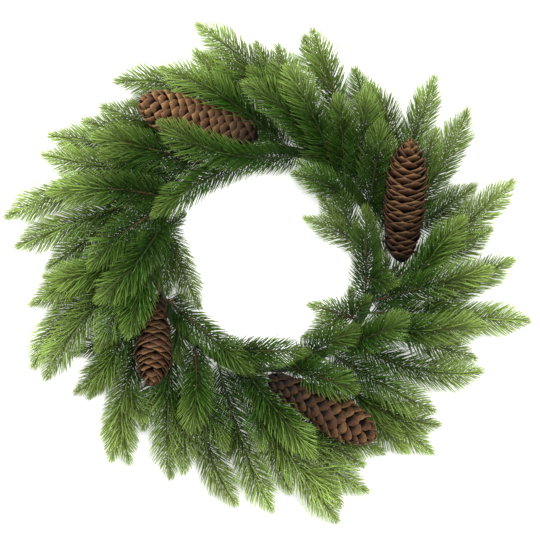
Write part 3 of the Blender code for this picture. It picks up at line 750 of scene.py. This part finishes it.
# %% Scale material
# Near-black: painted shade deep in the cone, and also the colour of the streaks.
SCALE_SHADE_AND_STREAK_BROWN = (0.005, 0.002, 0.001)
SCALE_BROWN = (0.120, 0.056, 0.022)
# The edge and nib colours are partly wear and partly painted highlight.
SCALE_WORN_EDGE_AND_HIGHLIGHT = (0.290, 0.160, 0.078)
SCALE_NIB_AND_HIGHLIGHT = (0.340, 0.170, 0.072)


def scale_material():
    """Streaked brown scales with painted shade near the core and foot, and a pale edge partly
    painted highlight.
    """
    material, tree, shader = start_material("cone_scale", 0.62, 0.2)
    along = stored(tree, "along")
    across = stored(tree, "across")
    shade = stored(tree, "shade")
    brown = ramp(tree, along, ((0.0, SCALE_SHADE_AND_STREAK_BROWN), (0.60, SCALE_SHADE_AND_STREAK_BROWN), (0.80, SCALE_BROWN),
                               (0.92, SCALE_BROWN), (1.0, SCALE_WORN_EDGE_AND_HIGHLIGHT)))
    middle = maths(tree, "SUBTRACT", 1.0, maths(tree, "ABSOLUTE", across))
    nib = times(tree, blend(tree, middle, (0.66, 0.88), (0.0, 1.0)),
                blend(tree, along, (0.84, 0.97), (0.0, 0.75)))
    brown = mix(tree, nib, brown, (*SCALE_NIB_AND_HIGHLIGHT, 1.0))
    grain = arrow_of(tree, times(tree, across, 9.0), along, times(tree, shade, 40.0))
    streaks = noise(tree, 2.2, 4.0, grain)
    dark = mix(tree, blend(tree, streaks, (0.42, 0.68), (0.0, 0.55)), brown,
               (*SCALE_SHADE_AND_STREAK_BROWN, 1.0))
    # Painted shade: the scales grow darker towards the cone's foot.
    foot_shade = blend(tree, stored(tree, "young"), (0.0, 1.3), (0.22, 1.35))
    varied = vary(tree, dark, blend(tree, shade, (0.0, 1.0), (0.49, 0.508)),
                  times(tree, foot_shade, blend(tree, shade, (0.0, 1.0), (0.75, 1.3))))
    tree.links.new(varied, shader.inputs["Base Color"])
    raise_bumps(tree, shader, streaks, 0.0008)
    return material


CONE_SCALE = scale_material()
print("scale material:", len(CONE_SCALE.node_tree.nodes), "nodes")

# %% [markdown]
# ## One cone scale
#
# A spruce cone scale is a thin woody spoon. It leaves the core steeply, curves up until
# it lies along the cone, wraps a little way round it, and ends in a rounded edge with a
# small blunt nib in its middle. In a dry cone it bends less and stands out like a lip or
# a shield. The mesh is a grid of points on that spoon, once for its outer face and once
# for its inner, joined round the rim. It is one unit from the core to the outside and
# one unit high, and the tree scales it to each cone.

# %% Scale mesh
SCALE_ROWS = 6
SCALE_COLUMNS = 6
Style = namedtuple("Style", "name wrap foot_lean edge_lean corner nib thickness cup")
SHUT = Style("shut_scale", 0.45, 80.0, -8.0, 0.34, 0.10, 0.08, 0.10)
LIPPED = Style("lipped_scale", 0.70, 85.0, 30.0, 0.20, 0.10, 0.05, 0.02)
SHIELD = Style("shield_scale", 0.49, 82.0, -8.0, 0.42, 0.04, 0.12, 0.12)


def spoon_line(style, part):
    """How far out and how far up the scale's middle line is, a part of the way along it."""
    out = 0.0
    up = 0.0
    steps = 24
    for step in range(steps):
        here = (step + 0.5) / steps * part
        share = min(1.0, here) ** 0.8
        lean = math.radians(style.foot_lean + (style.edge_lean - style.foot_lean) * share)
        out += math.sin(lean) * part / steps
        up += math.cos(lean) * part / steps
    return out, up


def scale_point(style, row, column, inner):
    """A point on the spoon: x out from the core, y round the cone, z up it."""
    whole_out, whole_up = spoon_line(style, 1.0)
    along = row / SCALE_ROWS
    across = 2.0 * column / SCALE_COLUMNS - 1.0
    edge = 1.0 - style.corner * abs(across) ** 2.4 + style.nib * math.exp(-(across / 0.22) ** 2)
    out, up = spoon_line(style, along * (1.0 + (edge - 1.0) * along))
    out = out / whole_out - style.cup * across ** 2 * along
    out = max(0.02, out - inner * style.thickness * min(1.0, 2.0 * along))
    width = style.wrap * (0.25 + 0.75 * math.sin(min(1.0, along * 1.3) * math.pi / 2))
    turn = width * across
    return (out * math.cos(turn), out * math.sin(turn), up / whole_up)


def scale_mesh(style):
    """The closed scale, with how far along and across it each point lies."""
    points = []
    along = []
    across = []
    for inner in (0, 1):
        for row in range(SCALE_ROWS + 1):
            for column in range(SCALE_COLUMNS + 1):
                points.append(scale_point(style, row, column, inner))
                # The inner face carries a quarter less of the along-number, so the material paints
                # it darker, as painted shade.
                along.append(row / SCALE_ROWS * (1.0 - 0.25 * inner))
                across.append(2.0 * column / SCALE_COLUMNS - 1.0)
    line = SCALE_COLUMNS + 1
    back = line * (SCALE_ROWS + 1)
    faces = []
    for row in range(SCALE_ROWS):
        for column in range(SCALE_COLUMNS):
            corner = row * line + column
            quad = (corner, corner + 1, corner + 1 + line, corner + line)
            faces.append(quad)
            faces.append(tuple(back + point for point in reversed(quad)))
    rim = list(range(line))
    rim += [row * line + SCALE_COLUMNS for row in range(1, SCALE_ROWS + 1)]
    rim += [SCALE_ROWS * line + column for column in range(SCALE_COLUMNS - 1, -1, -1)]
    rim += [row * line for row in range(SCALE_ROWS - 1, 0, -1)]
    for here, after in zip(rim, rim[1:] + rim[:1]):
        faces.append((after, here, back + here, back + after))
    mesh = plain_mesh(style.name, points, faces, along=along, across=across)
    mesh.shade_smooth()
    return mesh


scales = {style: helper_object(style.name, scale_mesh(style))
          for style in (SHUT, LIPPED, SHIELD)}
print("a scale has", len(scales[SHUT].data.polygons), "faces")

# %% [markdown]
# ## The cone tree
#
# Scales follow the same golden angle as needles do, up a core that is widest below its
# middle. The tree lays points up the z axis, reads the cone's outline from a curve, and
# sets a scale on each point, turned round the axis and opened outwards, with a little
# chance in both. Each scale's height in the cone is kept for the material, which paints
# shade that darkens towards the foot. A spindle inside keeps the cone from being seen
# through, and is painted near-black as shade deep inside the cone. The finished cone is
# then turned and moved to where it lies, and the curve that the tree is given becomes its
# stalk.

# %% Geometry Nodes: spruce cone
CONE_INPUTS = {
    "Object": ("Scale",), "Int": ("Scales", "Seed"), "Vector": ("Base", "Turn"),
    "Float": ("Length", "Radius", "Scale height", "Bluntness", "Foot opening", "Tip opening",
              "Foot width", "Tone", "Twig radius"),
    "Material": ("Scale finish", "Bark finish"),
}
POINTED = ((0.0, 0.60), (0.08, 0.84), (0.22, 0.97), (0.40, 1.0), (0.64, 0.92),
           (0.82, 0.72), (0.94, 0.46), (1.0, 0.20))
BLUNT = ((0.0, 0.72), (0.05, 0.90), (0.14, 0.98), (0.40, 1.0), (0.70, 0.98),
         (0.88, 0.86), (0.96, 0.66), (1.0, 0.40))
CORE_FOOT = 0.05
CORE_TOP = 0.86
CORE_SHARE = 0.45


def drawn_curve(tree, part, places):
    """A width for each height, from a drawn curve."""
    node = add_node(tree, "ShaderNodeFloatCurve", {"Value": part})
    line = node.mapping.curves[0]
    while len(line.points) < len(places):
        line.points.new(0.5, 0.5)
    for point, (position, width) in zip(line.points, places):
        point.location = (position, width)
    node.mapping.update()
    return node.outputs[0]


def cone_width(tree, inputs, part):
    """The cone's outline, between pointed and blunt."""
    pointed = drawn_curve(tree, part, POINTED)
    blunt = drawn_curve(tree, part, BLUNT)
    fuller = times(tree, maths(tree, "SUBTRACT", blunt, pointed), inputs["Bluntness"])
    taper = blend(tree, part, (0.0, 0.62), (inputs["Foot width"], 1.0))
    return times(tree, maths(tree, "ADD", pointed, fuller), taper)


def cone_scales(tree, inputs):
    """Points up the z axis with a scale on each."""
    line = add(tree, "GeometryNodeMeshLine", {"Count": inputs["Scales"]})
    index = add(tree, "GeometryNodeInputIndex")
    part = maths(tree, "DIVIDE", index, inputs["Scales"])
    width = cone_width(tree, inputs, part)
    radius = times(tree, width, inputs["Radius"])
    size = blend(tree, width, (0.2, 0.9), (0.6, 1.0))
    height = times(tree, size, inputs["Scale height"])
    travel = maths(tree, "SUBTRACT", inputs["Length"], times(tree, height, 0.95))
    lifted = add(tree, "GeometryNodeSetPosition",
                 {"Geometry": line, "Position": arrow_of(tree, z=times(tree, part, travel))})
    shaded = carry(tree, lifted, "shade", chance(tree, inputs, 0.0, 1.0))
    # The height carried as young sets the painted shade, which is darker towards the cone's foot.
    foot_shaded = carry(tree, shaded, "young", times(tree, part, inputs["Tone"]))
    turn = maths(tree, "ADD", times(tree, index, GOLDEN_TURN), chance(tree, inputs, -0.09, 0.09))
    opening = blend(tree, part, (0.2, 0.95), (inputs["Foot opening"], inputs["Tip opening"]))
    opening = maths(tree, "ADD", opening, chance(tree, inputs, -0.07, 0.07))
    opening = maths(tree, "ADD", opening, blend(tree, part, (0.86, 1.0), (0.0, -0.5)))
    rotation = add(tree, "FunctionNodeEulerToRotation", {0: arrow_of(tree, y=opening, z=turn)})
    return copies(tree, foot_shaded, inputs["Scale"], rotation, arrow_of(tree, radius, radius, height))


def cone_core(tree, inputs):
    """The spindle inside the scales."""
    ends = [arrow_of(tree, z=times(tree, inputs["Length"], share))
            for share in (CORE_FOOT, CORE_TOP)]
    axis = add(tree, "GeometryNodeCurvePrimitiveLine", {"Start": ends[0], "End": ends[1]})
    steps = add(tree, "GeometryNodeResampleCurve", {"Curve": axis, "Count": 16})
    part = add(tree, "GeometryNodeSplineParameter", output="Factor")
    width = times(tree, cone_width(tree, inputs, part), inputs["Radius"])
    # With no along-number of its own, the spindle takes the near-black of the scale finish: painted
    # shade inside the cone.
    return tube(tree, steps, 12, width, CORE_SHARE)


def cone_tree():
    """A stalk's curve in, the stalk and its cone out."""
    tree, inputs = start_tree("spruce_cone", CONE_INPUTS)
    body = made_real(tree, join(tree, cone_scales(tree, inputs), cone_core(tree, inputs)))
    brown = painted(tree, body, inputs["Scale finish"])
    turn = add(tree, "FunctionNodeEulerToRotation", {0: inputs["Turn"]})
    laid = add(tree, "GeometryNodeTransform",
               {"Geometry": brown, "Translation": inputs["Base"], "Rotation": turn})
    along = add_node(tree, "GeometryNodeSplineParameter").outputs
    return end_tree(tree, join(tree, laid, twig_tube(tree, inputs, along)))


SPRUCE_CONE = cone_tree()
print("cone tree:", len(SPRUCE_CONE.nodes), "nodes")

# %% [markdown]
# ## The four cones
#
# Each row gives a cone's foot and its tip in millimetres round the hoop's middle, its
# widest radius, its kind of scale, how many it has and how tall they are. Then come how
# blunt it is, how far the scales lean out at the foot and at the tip, how wide its foot
# is, how far its painted foot shade lightens towards the tip, and where on the hoop its
# stalk is bound. The cones at the right and lower left point up at the viewer with their
# scales ajar, the one at the top left is shut, and the one at the bottom has opened wide.

# %% Cones
Cone = namedtuple("Cone", "name base tip radius style scales height blunt foot_open tip_open "
                          "foot_width tone bound")
CONES = (
    Cone("cone_top_left", (-9, 115, 40), (-122, 153, 54), 21.5, SHUT, 190, 14.5,
         1.0, 0.0, 0.0, 1.0, 1.15, 95),
    Cone("cone_right", (131, -4, 33), (139, 114, 84), 22.0, LIPPED, 150, 14.0,
         0.25, 0.0, -0.06, 0.82, 0.72, 355),
    Cone("cone_lower_left", (-107, -33, 32), (-112, -121, 74), 20.0, LIPPED, 118, 14.0,
         0.35, 0.0, -0.06, 0.45, 0.68, 190),
    Cone("cone_bottom", (0, -115, 44), (104, -175, 46), 22.0, SHIELD, 116, 15.5,
         0.9, 0.0, -0.10, 0.52, 1.05, 268),
)
STALK_BEND = 14.0
STALK_RISE = 2.0
STALK_OVERLAP = 4.0


def stalk_curve(foot_angle, base, axis):
    """The line of a cone's stalk, from the hoop up into the cone's foot."""
    curve = start_curve("stalk", 12)
    foot = around_hoop(foot_angle, 90.0, WIRE_REACH)
    bend = base - axis * STALK_BEND + UP * STALK_RISE
    bezier_arc(curve, foot, bend, base + axis * STALK_OVERLAP)
    return curve


for number, cone in enumerate(CONES):
    base = Vector(cone.base)
    way = Vector(cone.tip) - base
    values = {"Scale": scales[cone.style], "Scales": cone.scales, "Length": way.length * MM,
              "Radius": cone.radius * MM, "Scale height": cone.height * MM,
              "Bluntness": cone.blunt,
              "Foot opening": cone.foot_open, "Tip opening": cone.tip_open,
              "Foot width": cone.foot_width, "Tone": cone.tone,
              "Base": place(base), "Turn": UP.rotation_difference(way).to_euler(),
              "Twig radius": 1.8 * MM, "Seed": number, "Scale finish": CONE_SCALE,
              "Bark finish": BARK}
    stalk = helper_object("stalk", stalk_curve(cone.bound, base, way.normalized()))
    piece = grow(stalk, SPRUCE_CONE, values, "scales_" + cone.name)
    dress(piece, cone.name)
    print(piece.name, len(piece.data.polygons), "faces")

# %% [markdown]
# ## The hoop
#
# The carrier is a hoop of two wires twisted together, with thin green wire wound round
# and round it to hold the stems. Both follow a circle, so one tree draws them: it moves
# the points of a circle out along a spiral and runs a round profile along the result.
# The winding is pressed flat where the hoop lies on the table.

# %% Wire material
WIRE_GREEN = (0.020, 0.042, 0.016)


def wire_material():
    """Dark green lacquered wire, scuffed to grey in places."""
    material, tree, shader = start_material("green_wire", 0.45)
    wear = blend(tree, noise(tree, 260.0, 4.0), (0.58, 0.74), (0.0, 0.7))
    colour = mix(tree, wear, (*WIRE_GREEN, 1.0), (0.16, 0.15, 0.12, 1.0))
    tree.links.new(colour, shader.inputs["Base Color"])
    shader.inputs["Metallic"].default_value = 0.35
    raise_bumps(tree, shader, noise(tree, 500.0), 0.0002)
    return material


GREEN_WIRE = wire_material()
print("wire material:", len(GREEN_WIRE.node_tree.nodes), "nodes")

# %% Geometry Nodes: wound hoop
HOOP_INPUTS = {
    "Float": ("Hoop radius", "Height", "Strand radius", "Strand reach", "Strand turns",
              "Winding radius", "Winding reach", "Winding turns"),
    "Material": ("Wire finish",),
}
STRAND_POINTS = 240
WINDING_POINTS = 2400


def spiral(tree, inputs, label, phase, points):
    """A round wire that spirals round the hoop's centre line and closes on itself."""
    radius, reach, turns = (inputs[label + part] for part in (" radius", " reach", " turns"))
    circle = add(tree, "GeometryNodeCurvePrimitiveCircle", {"Resolution": points})
    part = add(tree, "GeometryNodeSplineParameter", output="Factor")
    angle = times(tree, part, math.tau)
    seat = maths(tree, "ADD", times(tree, angle, turns), phase)
    out = times(tree, maths(tree, "COSINE", seat), reach)
    out = maths(tree, "ADD", out, inputs["Hoop radius"])
    up = times(tree, maths(tree, "SINE", seat), reach)
    up = maths(tree, "MAXIMUM", maths(tree, "ADD", up, inputs["Height"]), radius)
    position = arrow_of(tree, times(tree, maths(tree, "COSINE", angle), out),
                        times(tree, maths(tree, "SINE", angle), out), up)
    moved = add(tree, "GeometryNodeSetPosition", {"Geometry": circle, "Position": position})
    return tube(tree, moved, 8, radius, caps=False)


def hoop_tree():
    """Two twisted strands and the winding round them."""
    tree, inputs = start_tree("wound_hoop", HOOP_INPUTS)
    wires = [spiral(tree, inputs, "Strand", phase, STRAND_POINTS) for phase in (0.0, math.pi)]
    wires.append(spiral(tree, inputs, "Winding", 0.0, WINDING_POINTS))
    solid = made_real(tree, join(tree, *wires))
    return end_tree(tree, painted(tree, solid, inputs["Wire finish"]))


WOUND_HOOP = hoop_tree()
hoop_values = {
    "Hoop radius": HOOP_RADIUS * MM, "Height": WIRE_HEIGHT * MM, "Strand radius": 2.4 * MM,
    "Strand reach": 2.3 * MM, "Strand turns": 5.0, "Winding radius": 0.45 * MM,
    "Winding reach": 5.0 * MM, "Winding turns": 120.0, "Wire finish": GREEN_WIRE,
}
carrier = helper_object("carrier", bpy.data.meshes.new("carrier"))
hoop = grow(carrier, WOUND_HOOP, hoop_values, "wound_hoop")
hoop.data.transform(Matrix.Translation(HOOP_MIDDLE))
dress(hoop, "hoop")
print(hoop.name, len(hoop.data.polygons), "faces")

# %% Clear away the helpers
for helper in (needle, cone_bodies, *scales.values()):
    bpy.data.objects.remove(helper)

# %% [markdown]
# ## Table, light and camera
#
# The wreath lies on a plain white table top, seen from straight above through a long
# lens. A large soft light overhead and a bright room give the open, even light of a
# product picture, and a second light from the top left gives the needles their shine.

# %% Floor
FLOOR_WHITE = (0.94, 0.94, 0.93)


def floor_material():
    """A white table top with a trace of grain, which gives back some light of its own."""
    material, tree, shader = start_material("white_table", 0.6)
    grain = blend(tree, noise(tree, 30.0), (0.3, 0.7), (0.0, 1.0))
    colour = mix(tree, grain, (*FLOOR_WHITE, 1.0), (0.92, 0.92, 0.91, 1.0))
    tree.links.new(colour, shader.inputs["Base Color"])
    shader.inputs["Emission Color"].default_value = (1.0, 1.0, 1.0, 1.0)
    shader.inputs["Emission Strength"].default_value = 0.35
    return material


bpy.ops.mesh.primitive_plane_add(size=6.0, location=(0.0, 0.0, -0.0002))
floor = bpy.context.object
floor.name = "table_top"
floor.data.materials.append(floor_material())

# %% Light
LIGHT_WHITE = (1.0, 1.0, 0.98)


def soft_light(name, place_at, size, power):
    """A square area light aimed at the wreath."""
    data = bpy.data.lights.new(name, "AREA")
    data.size = size
    data.energy = power
    data.color = LIGHT_WHITE
    light = bpy.data.objects.new(name, data)
    light.location = place_at
    light.rotation_euler = (-Vector(place_at)).to_track_quat("-Z", "Y").to_euler()
    bpy.context.collection.objects.link(light)


soft_light("overhead", (0.25, 0.2, 1.6), 0.8, 26.0)
soft_light("key", (-1.0, 1.1, 1.1), 0.5, 26.0)
world = bpy.data.worlds.new("bright_room")
bpy.context.scene.world = world
world.use_nodes = True
sky = world.node_tree.nodes["Background"]
sky.inputs["Color"].default_value = (0.95, 0.98, 1.0, 1.0)
sky.inputs["Strength"].default_value = 0.48
bpy.context.scene.view_settings.view_transform = "Standard"

# %% Camera
CAMERA_HEIGHT = 3.0
FRAME_WIDTH = 0.530
MIDDLE_HEIGHT = 0.045
PICTURE_MIDDLE = (3.0, -11.0)
camera_data = bpy.data.cameras.new("camera")
camera_data.sensor_width = 36.0
camera_data.lens = 36.0 * (CAMERA_HEIGHT - MIDDLE_HEIGHT) / FRAME_WIDTH
camera = bpy.data.objects.new("camera", camera_data)
camera.location = place((*PICTURE_MIDDLE, CAMERA_HEIGHT / MM))
bpy.context.collection.objects.link(camera)
bpy.context.scene.camera = camera
print("lens", round(camera_data.lens), "mm at", CAMERA_HEIGHT, "m")
